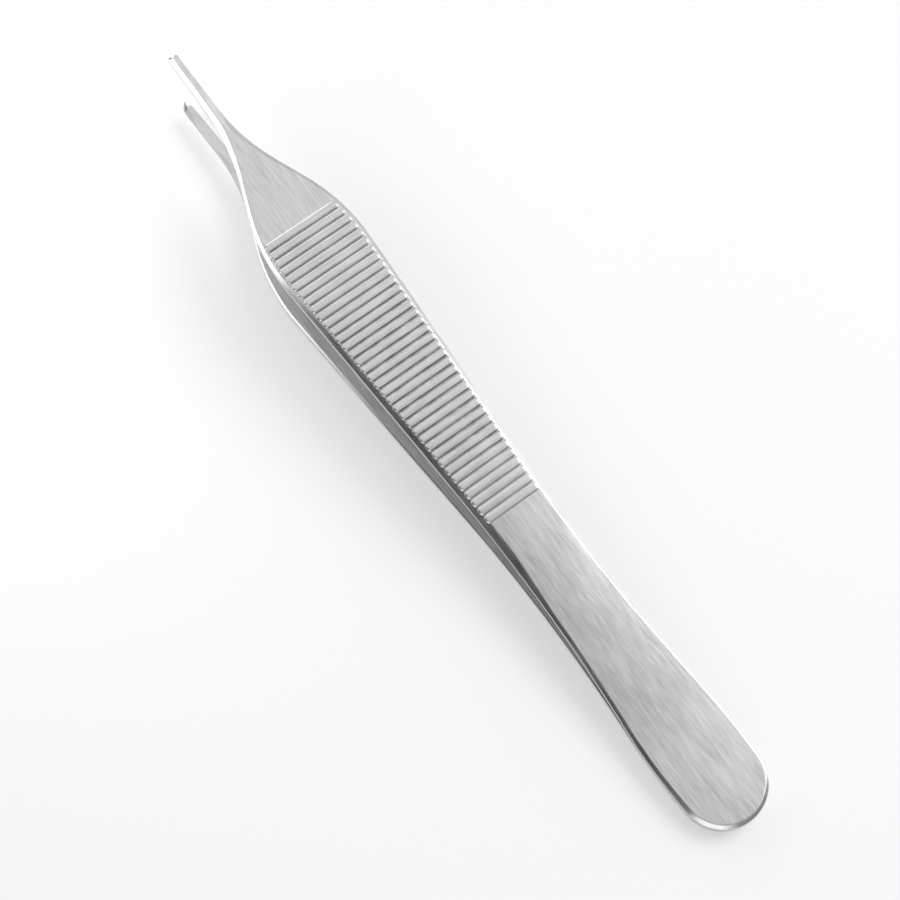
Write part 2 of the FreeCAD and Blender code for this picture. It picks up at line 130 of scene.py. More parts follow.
def half_width(x):
    """Half width of the strip at x."""
    p = plan
    if x < p["tail_end"].x:
        return math.sqrt(max(TAIL_R ** 2 - (x - TAIL_R) ** 2, 0))
    if x < p["blend_end"].x:
        return p["blend"].y + math.sqrt(BLEND_R ** 2 - (x - p["blend"].x) ** 2)
    if x < p["waist_end"].x:
        return p["waist"].y - math.sqrt(WAIST_R ** 2 - (x - WAIST_X) ** 2)
    if x < p["flank_end"].x:
        return on_line(p["waist_end"], p["flank_end"], x)
    if x < p["shoulder_end"].x:
        return p["shoulder"].y + math.sqrt(SHOULDER_R ** 2 - (x - SHOULDER_X) ** 2)
    if x < p["neck_end"].x:
        return on_line(p["shoulder_end"], p["neck_end"], x)
    if x < p["hollow_end"].x:
        return p["hollow"].y - math.sqrt(NECK_R ** 2 - (x - p["hollow"].x) ** 2)
    return on_line(p["hollow_end"], p["tip"], x)


def height(face, x):
    """Height of the outer or the inner face over the middle plane at x."""
    if x < WELD_X:
        return face["start"]
    if x < face["bend_end"].x:
        return face["bend"].y - math.sqrt(BEND_R ** 2 - (x - WELD_X) ** 2)
    if x < face["shank_end"].x:
        return on_line(face["bend_end"], face["shank_end"], x)
    if x < GRIP_X:
        return face["bow"].y + math.sqrt(face["bow_r"] ** 2 - (x - GRIP_X) ** 2)
    if x < face["beak"].x:
        return face["top"]
    if x < face["beak_end"].x:
        return face["beak"].y - math.sqrt(BEAK_R ** 2 - (x - face["beak"].x) ** 2)
    return on_line(face["beak_end"], Vector((LENGTH, face["end"])), x)


print("widest", round(2 * max(half_width(x) for x in range(121)), 2), "thickness at the grip",
      round(height(outer, 80) - height(inner, 80), 2))

# %% [markdown]
# ## The strip
# The blank is stamped, and its outer edges are ground to a bevel that turns softly into the face.
# On the beak the two bevels grow until they meet in a ridge. The model walks round the outline in
# short steps. At each step it sets out one row of points: over the face from the middle, round
# the turn, down the bevel and the wall, round the small inner edge and back under to the middle.
# The tables say how the edge changes along the arm. Each holds places along the arm and values:
# the width of the edge from above on either side, the angle of the bevel in degrees, the share of
# the width that is flat, the width of the inner edge, and the crown that polishing leaves across
# the face. The left edge is ground a little wider than the right one, as in the photograph.

# %% Edge tables and steps round the outline
BEAK_WIDE = [(90, 0.55), (100, 0.56), (105, 0.66), (107, 0.8), (110, 0.9), (120, 0.9)]
LEFT_WIDE = [(0, 0.6), (4, 0.6), (12, 0.5), (24, 0.45), (33, 0.5), (42, 1.0), (50, 0.9), (60, 0.8),
             (82, 0.7)] + BEAK_WIDE
RIGHT_WIDE = [(0, 0.6), (4, 0.25), (24, 0.28), (33, 0.42), (44, 0.55), (60, 0.62), (82, 0.6)] + BEAK_WIDE
EDGE_ANGLE = [(0, 34), (80, 34), (92, 31), (100, 28), (106, 26), (120, 26)]
EDGE_FLAT = [(0, 0.6), (33, 0.6), (44, 0.65), (80, 0.65), (100, 0.55), (106, 0.8), (120, 0.85)]
CROWN = [(0, 0.05), (20, 0.08), (35, 0.14), (50, 0.1), (58, 0.03), (100, 0.03), (110, 0.0), (120, 0.0)]
INNER_WIDE = [(0, 0.015), (12, 0.015), (13, 0.1), (45, 0.12), (60, 0.3), (90, 0.3), (98, 0.18),
              (104, 0.06), (120, 0.05)]
INNER_SLOPE, INNER_HOLLOW = 0.45, 1.3
RIDGE_HALF = 0.015
CORNER_R, CORNER_STEPS = 0.46, 6
WALK_STEPS = {"tail": 30, "blend": 22, "waist": 34, "flank": 40, "shoulder": 24, "neck": 10,
              "hollow": 20, "beak": 16}
FACE_SHARES = [0.0, 0.2, 0.4, 0.58, 0.74, 0.87, 0.95, 0.99, 1.0]
ROUND_STEPS, BEVEL_STEPS, WALL_STEPS, INNER_STEPS = 8, 4, 3, 3
ROLL_STEPS = ROUND_STEPS + BEVEL_STEPS


def table(rows, x):
    """Value of a table at x, in straight runs between its rows."""
    for (x0, a), (x1, b) in zip(rows, rows[1:]):
        if x <= x1:
            return a + (b - a) * (x - x0) / (x1 - x0)
    return rows[-1][1]


def arc_steps(centre, a, b, steps, hollow=False):
    """Places and outward directions along an arc from a to b."""
    from_angle = math.atan2(a.y - centre.y, a.x - centre.x)
    to_angle = math.atan2(b.y - centre.y, b.x - centre.x)
    radius = (a - centre).length
    for k in range(steps):
        turn = from_angle + (to_angle - from_angle) * k / steps
        spoke = Vector((math.cos(turn), math.sin(turn)))
        yield centre + spoke * radius, -spoke if hollow else spoke


def line_steps(a, b, steps):
    """Places and outward directions along a straight side from a to b."""
    along = (b - a).normalized()
    for k in range(steps):
        yield a.lerp(b, k / steps), Vector((-along.y, along.x))


def edge_wide(widths, x):
    """Width of the edge at x. On the beak the two edges leave a narrow ridge between them."""
    wide = table(widths, x)
    return min(wide, half_width(min(x, LENGTH)) - RIDGE_HALF) if x > SHOULDER_X else wide


def outline_steps(widths):
    """Rows round one half of the outline: place on the wall, start of the edge on the face, start
    of the small inner edge, and the place on the middle line that the row of the face starts at."""
    p, steps = plan, WALK_STEPS
    corner = Vector((LENGTH - CORNER_R, TIP_HALF + math.tan(TAPER) * CORNER_R))
    walk = list(arc_steps(p["tail"], p["start"], p["tail_end"], steps["tail"]))
    walk += arc_steps(p["blend"], p["tail_end"], p["blend_end"], steps["blend"])
    walk += arc_steps(p["waist"], p["blend_end"], p["waist_end"], steps["waist"], hollow=True)
    walk += line_steps(p["waist_end"], p["flank_end"], steps["flank"])
    walk += arc_steps(p["shoulder"], p["flank_end"], p["shoulder_end"], steps["shoulder"])
    walk += line_steps(p["shoulder_end"], p["neck_end"], steps["neck"])
    walk += arc_steps(p["hollow"], p["neck_end"], p["hollow_end"], steps["hollow"], hollow=True)
    walk += line_steps(p["hollow_end"], corner, steps["beak"])
    rows = []
    for place, out in walk:
        under = place - out * table(INNER_WIDE, place.x)
        rows.append((place, place - out * edge_wide(widths, place.x), under, place.x - out.x * widths[0][1]))
    start = Vector((corner.x, corner.y - edge_wide(widths, LENGTH)))
    hub = corner - Vector((0, CORNER_R))
    for k in range(CORNER_STEPS + 1):
        turn = math.radians(90 * k / CORNER_STEPS)
        out = Vector((math.sin(turn), math.cos(turn)))
        place = hub + out * CORNER_R
        rows.append((place, start, place - out * table(INNER_WIDE, LENGTH), start.x))
    return rows


sides = {1: LEFT_WIDE, -1: RIGHT_WIDE}
print("steps round half of the outline", len(outline_steps(LEFT_WIDE)))


# %% [markdown]
# The rows become a mesh of four sheets for one half of the arm: the outer face, the edge, the
# inner face and the end of the beak. The other half is made the same way with its own edge. The
# sheets share their border points, so one merge closes the skin, also at the pole of the tail.
# An attribute marks the inner face, which the wheel reaches less and which stays duller.

# %% The strip's skin
def top_height(x, y):
    """Outer face at a place, with the slight crown that polishing leaves across it."""
    across = y / half_width(max(x, TAIL_R))
    return height(outer, x) - table(CROWN, x) * across ** 2


def edge_profile(wide, x):
    """Points of the edge as (kind, share of the way in, fall or rise) for a row at x: a round
    turn off the outer face, a flat bevel, the wall, and a small bevel at the inner face."""
    flat = table(EDGE_FLAT, x)
    bevel = math.radians(table(EDGE_ANGLE, x))
    radius = (1 - flat) * wide / math.sin(bevel)
    for k in range(ROUND_STEPS):
        turn = bevel * k / ROUND_STEPS
        yield "outer", 1 - radius * math.sin(turn) / wide, radius * (1 - math.cos(turn))
    for k in range(BEVEL_STEPS + 1):
        part = flat * k / BEVEL_STEPS
        yield "outer", flat - part, radius * (1 - math.cos(bevel)) + wide * part * math.tan(bevel)
    for k in range(1, WALL_STEPS):
        yield "wall", 0.0, k / WALL_STEPS
    for k in range(INNER_STEPS + 1):
        part = k / INNER_STEPS
        yield "inner", part, table(INNER_WIDE, x) * INNER_SLOPE * (1 - part) ** INNER_HOLLOW


def edge_points(widths, place, start, under):
    """The edge of one row as points in space."""
    points = []
    steps = list(edge_profile(edge_wide(widths, place.x), place.x))
    deep, roll = steps[ROLL_STEPS][2], steps[ROLL_STEPS + WALL_STEPS][2]
    for kind, share, fall in steps:
        if kind == "outer":
            spot = place.lerp(start, share)
            z = top_height(spot.x, spot.y) - fall
        elif kind == "inner":
            spot = place.lerp(under, share)
            z = height(inner, spot.x) + fall
        else:
            spot = place
            high, low = top_height(spot.x, spot.y) - deep, height(inner, spot.x) + roll
            z = high + (low - high) * fall
        points.append(Vector((spot.x, spot.y, z)))
    return points


def sheet(grid, mesh, sign, matt, inside):
    """Adds a grid of points to the mesh as one sheet of quads, marked if it is an inner face."""
    made = [[mesh.verts.new((p.x, sign * p.y, p.z)) for p in row] for row in grid]
    for spot in (spot for row in made for spot in row):
        spot[matt] = inside
    for near, far in zip(made, made[1:]):
        for k in range(len(near) - 1):
            mesh.faces.new((near[k], near[k + 1], far[k + 1], far[k]))


def half_sheets(widths):
    """The outer face, the edge, the inner face and the beak's end of one half, as grids of points."""
    rows = outline_steps(widths)
    edges = [edge_points(widths, *row[:3]) for row in rows]
    face, back, end = [], [], []
    for place, start, under, middle in rows:
        over = [Vector((middle + (start.x - middle) * f, start.y * f)) for f in FACE_SHARES]
        face.append([Vector((v.x, v.y, top_height(v.x, v.y))) for v in over])
        inner_middle = max(middle, under.x) if place.x > LENGTH - CORNER_R else middle
        below = [Vector((inner_middle + (under.x - inner_middle) * f, under.y * f)) for f in FACE_SHARES]
        back.append([Vector((v.x, v.y, height(inner, v.x))) for v in below])
    for k, p in enumerate(edges[-1]):
        near_face = 1 if k <= ROLL_STEPS else 0
        lift = [(top_height(p.x, p.y * f) - top_height(p.x, p.y)) * near_face for f in FACE_SHARES]
        end.append([Vector((p.x, p.y * f, p.z + up)) for f, up in zip(FACE_SHARES, lift)])
    return (face, 0.0), (edges, 0.0), (back, 1.0), (end, 0.0)


def strip_mesh(name):
    """The smooth arm without ribs and teeth, drawn with its outer face upwards."""
    mesh = bmesh.new()
    matt = mesh.verts.layers.float.new("inner")
    for sign, widths in sides.items():
        for grid, inside in half_sheets(widths):
            sheet(grid, mesh, sign, matt, inside)
    bmesh.ops.remove_doubles(mesh, verts=mesh.verts, dist=0.002)
    bmesh.ops.dissolve_degenerate(mesh, edges=mesh.edges, dist=0.001)
    bmesh.ops.recalc_face_normals(mesh, faces=mesh.faces)
    data = bpy.data.meshes.new(name)
    mesh.to_mesh(data)
    open_edges = sum(1 for e in mesh.edges if not e.is_manifold)
    mesh.free()
    print(name, "faces", len(data.polygons), "open edges", open_edges)
    return data


def add_object(name, data):
    piece = bpy.data.objects.new(name, data)
    bpy.context.scene.collection.objects.link(piece)
    return piece


strip = add_object("strip", strip_mesh("strip"))


# %% [markdown]
# ## Maths that reads like maths
# Finishes and Geometry Nodes both need long sums. A small class wraps a socket, so that they can
# be written as plain Python expressions, and one method adds any other node with its settings.

# %% Fields
class Field:
    """An output socket of a node tree that takes part in Python expressions."""

    def __init__(self, tree, socket):
        self.tree, self.socket = tree, socket

    def into(self, target):
        self.tree.links.new(self.socket, target)

    def math(self, operation, *others):
        made = self.tree.nodes.new("ShaderNodeMath")
        made.operation = operation
        plug(made.inputs[0], self)
        for slot, other in zip(list(made.inputs)[1:], others):
            plug(slot, other)
        return Field(self.tree, made.outputs[0])

    def __add__(self, other):
        return self.math("ADD", other)

    def __sub__(self, other):
        return self.math("SUBTRACT", other)

    def __mul__(self, other):
        return self.math("MULTIPLY", other)

    def __truediv__(self, other):
        return self.math("DIVIDE", other)

    def __pow__(self, other):
        return self.math("POWER", other)

    def __neg__(self):
        return self * -1.0

    def __rsub__(self, other):
        return self * -1.0 + other

    def __rtruediv__(self, other):
        return self ** -1.0 * other

    __radd__, __rmul__ = __add__, __mul__

    def over(self, level):
        """1 where the field is over the level, else 0."""
        return self.math("GREATER_THAN", level)

    def ramp(self, low, high):
        """0 below low, 1 above high, with soft ends; low may be the larger."""
        return node(self.tree, "ShaderNodeMapRange", {"interpolation_type": "SMOOTHSTEP", "clamp": True},
                    {"Value": self, "From Min": low, "From Max": high})["Result"]


def plug(socket, value):
    """Links a field to a socket, or writes a constant on it."""
    if isinstance(value, Field):
        value.into(socket)
    else:
        socket.default_value = value


def node(tree, kind, settings=None, inputs=None):
    """Adds any node, settings first, and gives back its outputs as fields by name."""
    made = tree.nodes.new(kind)
    for name, value in (settings or {}).items():
        setattr(made, name, value)
    for name, value in (inputs or {}).items():
        plug(made.inputs[name], value)
    return {socket.name: Field(tree, socket) for socket in made.outputs if socket.enabled}


# %% [markdown]
# ## Brushed steel
# The whole tool is one finish: stainless steel ground with a belt and then lightly polished. On
# the smooth faces the belt leaves fine streaks along the arm, a few millimetres long and a fifth
# of a millimetre wide, with thinner hairs between them. On the ribs the streaks run along the
# ribs, so across the arm. The polish leaves broad cloudy patches. The inner faces stay duller.
# In the middle of the grip, painted shade darkens the grooves between the ribs and the lower
# sides of the ribs, broken up in mottled patches.
# All of it hangs on the object's own coordinates in millimetres.

# %% The steel
# Painted shade in the grooves is full between these two spans of x and fades out over them, towards the tail
# and towards the tips, in millimetres of the object.
GROOVE_SHADE_TAIL_FADE, GROOVE_SHADE_TIPS_FADE = (-12.0, -2.0), (24.0, 10.0)


def steel_finish():
    steel = bpy.data.materials.new("brushed_steel")
    steel.use_nodes = True
    tree = steel.node_tree
    shader = tree.nodes["Principled BSDF"]
    place = node(tree, "ShaderNodeTexCoord")["Object"]
    axes = node(tree, "ShaderNodeSeparateXYZ", inputs={"Vector": place})
    x, y, z = (axes[k] * 1000.0 for k in "XYZ")

    def noise(sx, sy, sz, detail, seed):
        """Noise with so many waves in a millimetre along each axis."""
        spot = node(tree, "ShaderNodeCombineXYZ", inputs={"X": x * sx + seed, "Y": y * sy, "Z": z * sz})
        inputs = {"Vector": spot["Vector"], "Scale": 1.0, "Detail": detail, "Roughness": 0.6}
        return node(tree, "ShaderNodeTexNoise", {"noise_dimensions": "3D"}, inputs)["Fac"]

    rib, inner_face, groove = (node(tree, "ShaderNodeAttribute", {"attribute_name": name})["Fac"]
                               for name in ("rib", "inner", "groove"))
    along, across = noise(0.2, 3.2, 1.2, 1.5, 3.0), noise(5.0, 0.3, 1.2, 1.5, 7.0)
    streaks = along + rib * (across - along)
    hairs = noise(0.35, 6.0, 3.0, 0.5, 31.0) * (1.0 - rib) + rib * 0.5
    clouds = noise(0.16, 0.34, 0.3, 3.0, 17.0)
    smudges = noise(1.1, 1.6, 1.0, 3.0, 53.0)
    # Painted shade in the grooves: the groove mask, which grows down the sides of the ribs, times the middle
    # of the grip and mottled patches that break it up.
    groove_shade_mottle = noise(1.4, 0.5, 0.5, 2.0, 71.0).ramp(0.3, 0.6)
    painted_groove_shade = groove * x.ramp(*GROOVE_SHADE_TAIL_FADE) * x.ramp(*GROOVE_SHADE_TIPS_FADE) * groove_shade_mottle
    grain = (streaks - 0.5) * 0.26 + (clouds - 0.5) * 0.12 + (hairs - 0.5) * 0.16
    # The painted groove shade takes up to 0.55 of the tone away.
    tone = (0.6 + grain) * (1.0 - painted_groove_shade * 0.55)
    colour = node(tree, "ShaderNodeCombineColor", inputs={"Red": tone, "Green": tone, "Blue": tone * 1.008})
    plug(shader.inputs["Base Color"], colour["Color"])
    plug(shader.inputs["Metallic"], 1.0)
    plug(shader.inputs["Roughness"], 0.29 + (clouds - 0.5) * 0.1 + (streaks - 0.5) * 0.08 + inner_face * 0.15)
    relief = streaks * 0.7 + smudges * 0.2
    bump = node(tree, "ShaderNodeBump", inputs={"Height": relief, "Strength": 0.22, "Distance": 0.00003})
    plug(shader.inputs["Normal"], bump["Normal"])
    return steel


steel = steel_finish()
print("steel nodes", len(steel.node_tree.nodes))

# %% [markdown]
# ## The grip
# The grip is a row of 36 raised ribs, milled across the bow, that stop short of the edges. Each
# rib has a nearly flat top, a slope that faces the tips, steep sides and round ends. One short
# rib is modelled. A Geometry Nodes tree sets its copies out along the bow and pulls the
# two ends of each apart until they follow the arm's outline, so the ribs always fit the arm that
# they are given. The section starts at the foot that faces the tips and goes over the top.

# %% One rib
RIB_RISE, RIB_ROUND, RIB_END_STEPS = 0.28, 0.45, 8
RIB_SECTION = [(0.6, -0.2), (0.59, 0.02), (0.575, 0.1), (0.55, 0.145), (0.38, 0.235), (0.32, 0.258),
               (0.2, 0.273), (-0.05, RIB_RISE), (-0.34, 0.273), (-0.44, 0.255), (-0.51, 0.215),
               (-0.555, 0.15), (-0.59, 0.02), (-0.6, -0.2)]
END_NARROWS, END_FALLS = 0.75, 0.4
# Height on the rib's section under which the painted groove shade starts, and the drop over which it grows to
# full.
GROOVE_SHADE_TOP, GROOVE_SHADE_FADE = 0.27, 0.07


def rib_bar():
    """A rib with its two ends drawn together. The end attribute says which end a point is on, and
    the groove attribute, the mask of the painted shade in the grooves, grows from the top of the
    rib down its sides."""
    mesh = bmesh.new()
    end_of, on_rib, groove_shade_layer = (mesh.verts.layers.float.new(name) for name in ("end", "rib", "groove"))
    steps = [math.radians(90 * k / RIB_END_STEPS) for k in range(RIB_END_STEPS)]
    stations = [(-1, t) for t in steps[::-1]] + [(1, t) for t in steps]
    loops = []
    for side, turn in stations:
        narrow, low = math.cos(turn) ** END_NARROWS, math.cos(turn) ** END_FALLS
        y = side * (math.sin(turn) - 1) * RIB_ROUND
        loop = []
        for across, up in RIB_SECTION:
            spot = mesh.verts.new((across * narrow, y, up * low if up > 0 else up))
            spot[end_of], spot[on_rib] = side, 1.0
            # Mask of the painted shade in the grooves: 0 on the top of the rib, 1 lower down its sides.
            spot[groove_shade_layer] = min(max((GROOVE_SHADE_TOP - up) / GROOVE_SHADE_FADE, 0.0), 1.0)
            loop.append(spot)
        loops.append(loop)
    for near, far in zip(loops, loops[1:]):
        for k in range(len(RIB_SECTION) - 1):
            mesh.faces.new((near[k], near[k + 1], far[k + 1], far[k]))
    for loop in (loops[0], loops[-1]):
        mesh.faces.new(loop)
    bmesh.ops.recalc_face_normals(mesh, faces=mesh.faces)
    data = bpy.data.meshes.new("rib")
    mesh.to_mesh(data)
    mesh.free()
    return data


rib = add_object("rib", rib_bar())
print("points of one rib", len(rib.data.vertices))

# %% The ribbed grip as a node tree
RIB_COUNT, RIB_PITCH, RIB_MARGIN = 36, 1.264, 0.5
FRONT_BACK = 29.02
FRONT_TURN = math.asin((GRIP_X - LENGTH + FRONT_BACK) / outer["bow_r"])


def grip_tree():
    tree = bpy.data.node_groups.new("ribbed_grip", "GeometryNodeTree")
    named = {"Arm": "NodeSocketGeometry", "Rib": "NodeSocketObject", "Count": "NodeSocketInt",
             "Pitch": "NodeSocketFloat", "Bow Radius": "NodeSocketFloat", "Front Turn": "NodeSocketFloat",
             "Margin": "NodeSocketFloat", "Steel": "NodeSocketMaterial"}
    for name, kind in named.items():
        tree.interface.new_socket(name, in_out="INPUT", socket_type=kind)
    tree.interface.new_socket("Ribbed Arm", in_out="OUTPUT", socket_type="NodeSocketGeometry")
    given = node(tree, "NodeGroupInput")
    index = node(tree, "GeometryNodeInputIndex")["Index"]
    turn = given["Front Turn"] + index * given["Pitch"] / given["Bow Radius"]
    x = GRIP_X - turn.math("SINE") * given["Bow Radius"]
    z = turn.math("COSINE") * given["Bow Radius"] + outer["top"] - given["Bow Radius"]
    spot = node(tree, "ShaderNodeCombineXYZ", inputs={"X": x, "Z": z})["Vector"]
    points = node(tree, "GeometryNodePoints", inputs={"Count": given["Count"], "Position": spot})["Points"]
    lean = node(tree, "ShaderNodeCombineXYZ", inputs={"Y": -turn})["Vector"]
    bar = node(tree, "GeometryNodeObjectInfo", {"transform_space": "RELATIVE"}, {"Object": given["Rib"]})
    set_out = node(tree, "GeometryNodeInstanceOnPoints",
                   inputs={"Points": points, "Instance": bar["Geometry"], "Rotation": lean})
    ribs = node(tree, "GeometryNodeRealizeInstances", inputs={"Geometry": set_out["Instances"]})["Geometry"]
    where = node(tree, "GeometryNodeInputPosition")["Position"]
    along = node(tree, "ShaderNodeSeparateXYZ", inputs={"Vector": where})["X"]
    # the outline beside the grip: hollow waist, straight flank, round shoulder
    p = plan
    waist = p["waist"].y - (WAIST_R ** 2 - (along - WAIST_X) ** 2.0) ** 0.5
    rise = (p["flank_end"].y - p["waist_end"].y) / (p["flank_end"].x - p["waist_end"].x)
    flank = p["waist_end"].y + (along - p["waist_end"].x) * rise
    shoulder = p["shoulder"].y + (SHOULDER_R ** 2 - (along - SHOULDER_X) ** 2.0) ** 0.5
    past_waist, past_flank = along.over(p["waist_end"].x), along.over(p["flank_end"].x)
    wide = waist + past_waist * (flank - waist) + past_flank * (shoulder - flank)
    end = node(tree, "GeometryNodeInputNamedAttribute", {"data_type": "FLOAT"}, {"Name": "end"})["Attribute"]
    pull = node(tree, "ShaderNodeCombineXYZ", inputs={"Y": end * (wide - given["Margin"])})["Vector"]
    ribs = node(tree, "GeometryNodeSetPosition", inputs={"Geometry": ribs, "Offset": pull})["Geometry"]
    join = tree.nodes.new("GeometryNodeJoinGeometry")
    ribs.into(join.inputs[0])
    given["Arm"].into(join.inputs[0])
    whole = node(tree, "GeometryNodeRealizeInstances",
                 inputs={"Geometry": Field(tree, join.outputs[0])})["Geometry"]
    done = node(tree, "GeometryNodeSetMaterial", inputs={"Geometry": whole, "Material": given["Steel"]})
    out = tree.nodes.new("NodeGroupOutput")
    done["Geometry"].into(out.inputs[0])
    return tree


def plain_mesh(piece, tree, values):
    """Runs a node tree on a piece with its inputs by name and gives back the plain mesh."""
    modifier = piece.modifiers.new(tree.name, "NODES")
    modifier.node_group = tree
    for item in tree.interface.items_tree:
        if item.in_out == "INPUT" and item.name in values:
            modifier[item.identifier] = values[item.name]
    bpy.context.view_layer.update()
    seen = piece.evaluated_get(bpy.context.evaluated_depsgraph_get())
    data = bpy.data.meshes.new_from_object(seen)
    piece.modifiers.remove(modifier)
    return data


values = {"Rib": rib, "Count": RIB_COUNT, "Pitch": RIB_PITCH, "Bow Radius": outer["bow_r"],
          "Front Turn": FRONT_TURN, "Margin": RIB_MARGIN, "Steel": steel}
ribbed = plain_mesh(strip, grip_tree(), values)
for helper in (strip, rib):
    bpy.data.objects.remove(helper)
print("ribbed arm faces", len(ribbed.polygons))

# %% [markdown]
# ## Teeth
# The lower beak ends in one small pointed tooth beside the middle, and the upper beak in two that
# close on either side of it. Each is ground as a wedge that leads the end of the beak a little.
# They are lofted from a rounded root through hollow flanks to a small blunt point. The lifts are
# shares of the tooth's height, each with the share of its width that is left there.

# %% Teeth of both tips
TOOTH_PLACE, TOOTH_WIDE, TOOTH_HIGH, FORK_HIGH = 0.28, 0.68, 1.3, 0.9
NOTCH_PLACE, NOTCH_HALF = 0.1, 0.28
TOOTH_DEEP, TOOTH_PAST, POINT_DEEP, ROOT_BACK = 0.5, 0.12, 0.14, 0.03
TOOTH_LEANS, TOOTH_HOLLOW, TOOTH_SQUARE, TOOTH_SIDES = 0.7, 1.6, 0.6, 16
TOOTH_LIFTS = [(-0.25, 1.0), (0.0, 1.0), (0.25, 0.8), (0.5, 0.6), (0.75, 0.42), (0.93, 0.28), (1.0, 0.14)]


def add_tooth(mesh, place, wide, high):
    """A tooth that points down from the inner face of an arm drawn upwards."""
    loops = []
    for lift, part in TOOTH_LIFTS:
        up = max(lift, 0)
        z = height(inner, LENGTH) - (lift * high if lift > 0 else lift)
        back = LENGTH - TOOTH_DEEP * (1 - up) ** TOOTH_HOLLOW + up * (TOOTH_PAST - POINT_DEEP)
        front = LENGTH - ROOT_BACK + up * (TOOTH_PAST + ROOT_BACK)
        middle = Vector(((back + front) / 2, place * (1 - TOOTH_LEANS * up)))
        reach = Vector(((front - back) / 2, part * wide / 2))
        loop = []
        for k in range(TOOTH_SIDES):
            turn = 2 * math.pi * (k + 0.5) / TOOTH_SIDES
            a, b = math.cos(turn), math.sin(turn)
            a, b = (math.copysign(abs(c) ** TOOTH_SQUARE, c) for c in (a, b))
            loop.append(mesh.verts.new((middle.x + a * reach.x, middle.y + b * reach.y, z)))
        loops.append(loop)
    faces = [mesh.faces.new(loops[0]), mesh.faces.new(loops[-1])]
    for near, far in zip(loops, loops[1:]):
        for k in range(TOOTH_SIDES):
            faces.append(mesh.faces.new((near[k], near[k - 1], far[k - 1], far[k])))
    bmesh.ops.recalc_face_normals(mesh, faces=faces)


# %% [markdown]
# ## Both arms in place
# The lower arm is the same strip turned over. The tool lies as it would on a table: on the end of
# its tail and on the crest of the ribs under the grip, so it leans by a few degrees. The lean and
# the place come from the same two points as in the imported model.

# %% Placing the arms
HEEL = (0.45, TAIL_THICK)
crests = []
for k in range(RIB_COUNT):
    turn = FRONT_TURN + k * RIB_PITCH / outer["bow_r"]
    crest_r = outer["bow_r"] + RIB_RISE
    crest_z = outer["top"] - outer["bow_r"] + math.cos(turn) * crest_r
    crests.append((GRIP_X - math.sin(turn) * crest_r, crest_z))
lean = max(math.atan2(z - HEEL[1], x - HEEL[0]) for x, z in crests)
low_x, low_z = min(crests, key=lambda c: abs(math.atan2(c[1] - HEEL[1], c[0] - HEEL[0]) - lean))
cad_low, cad_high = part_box("upper_arm")
turned = Matrix.Rotation(-lean, 4, "Y")
rest = Vector((low_x, 0, -low_z)) @ turned.to_3x3().transposed()
tail_corner = Vector((0, 0, TAIL_THICK - HEEL[0])) @ turned.to_3x3().transposed()
drop = Vector((cad_low.x * 1000 - tail_corner.x, 0, -rest.z))
to_frame = Matrix.Scale(0.001, 4) @ Matrix.Translation(drop) @ turned
print("lean", round(math.degrees(lean), 4), "drop", [round(c, 4) for c in drop])


def finished_arm(name, teeth, over):
    """One arm with its teeth, turned over if asked, in its place in the frame."""
    mesh = bmesh.new()
    mesh.from_mesh(ribbed)
    for place, wide, high in teeth:
        add_tooth(mesh, place, wide, high)
    if over:
        bmesh.ops.scale(mesh, vec=(1, 1, -1), verts=mesh.verts)
        bmesh.ops.reverse_faces(mesh, faces=mesh.faces)
    bmesh.ops.transform(mesh, matrix=to_frame, verts=mesh.verts)
    data = bpy.data.meshes.new(name)
    mesh.to_mesh(data)
    mesh.free()
    data.shade_smooth()
    data.set_sharp_from_angle(angle=math.radians(50))
    data.materials.clear()
    data.materials.append(steel)
    piece = add_object(name, data)
    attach(piece, "root")
    return piece


fork = []
for side in (1, -1):
    near, far = NOTCH_PLACE + side * NOTCH_HALF, side * TIP_HALF
    fork.append(((near + far) / 2, abs(far - near), FORK_HIGH))
upper = finished_arm("upper_arm_steel", fork, False)
lower = finished_arm("lower_arm_steel", [(TOOTH_PLACE, TOOTH_WIDE, TOOTH_HIGH)], True)
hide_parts("upper_arm")
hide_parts("lower_arm")
for piece in (upper, lower):
    print(piece.name, len(piece.data.polygons), [round(c * 1000, 3) for c in piece.dimensions])

# %% [markdown]
# ## Table and light
# The tool lies on a plain white table under soft studio light. A large soft light stands at the
# right of the picture, so the shadow falls softly to the lower left. The table is white paper
# that gives a share of its own light to the camera and to the mirror rays of the steel, so it
# comes out white and still keeps the shadow.

# %% The table
TABLE_HALF, PAPER_GLOW = 3.0, 0.4
floor_data = bpy.data.meshes.new("table")
corners = [(sx * TABLE_HALF, sy * TABLE_HALF, 0) for sx, sy in ((-1, -1), (1, -1), (1, 1), (-1, 1))]
floor_data.from_pydata(corners, [], [(0, 1, 2, 3)])
floor = add_object("table", floor_data)
white = bpy.data.materials.new("white_table")
white.use_nodes = True
tree = white.node_tree
paper = tree.nodes["Principled BSDF"]
plug(paper.inputs["Base Color"], (0.85, 0.85, 0.855, 1.0))
plug(paper.inputs["Roughness"], 0.9)
plug(paper.inputs["Specular IOR Level"], 0.1)
seen = node(tree, "ShaderNodeLightPath")
share = (seen["Is Camera Ray"] + seen["Is Glossy Ray"] + seen["Is Transmission Ray"]) * PAPER_GLOW
bright = node(tree, "ShaderNodeEmission", inputs={"Color": (1.0, 1.0, 1.0, 1.0), "Strength": 1.0})["Emission"]
blend = tree.nodes.new("ShaderNodeMixShader")
for socket, value in zip(blend.inputs, (share, Field(tree, paper.outputs["BSDF"]), bright)):
    plug(socket, value)
plug(tree.nodes["Material Output"].inputs["Surface"], Field(tree, blend.outputs["Shader"]))
floor_data.materials.append(white)

# %% [markdown]
# Steel shows what is around it, so the surroundings matter as much as the lamps. The directions
# are the scene's own: X to the tips, Y to the left of the tool and Z up. The sky is even overhead,
# brighter towards the tips and the right. Near the horizon a ring takes over, bright at the right
# and dim behind the tail. The left is shut, which draws the dark line along the left edge of the
# arms, and only a wing towards the tail stays open. A bright low patch past the tips gives the
# ribs the white line on the slope that faces it.

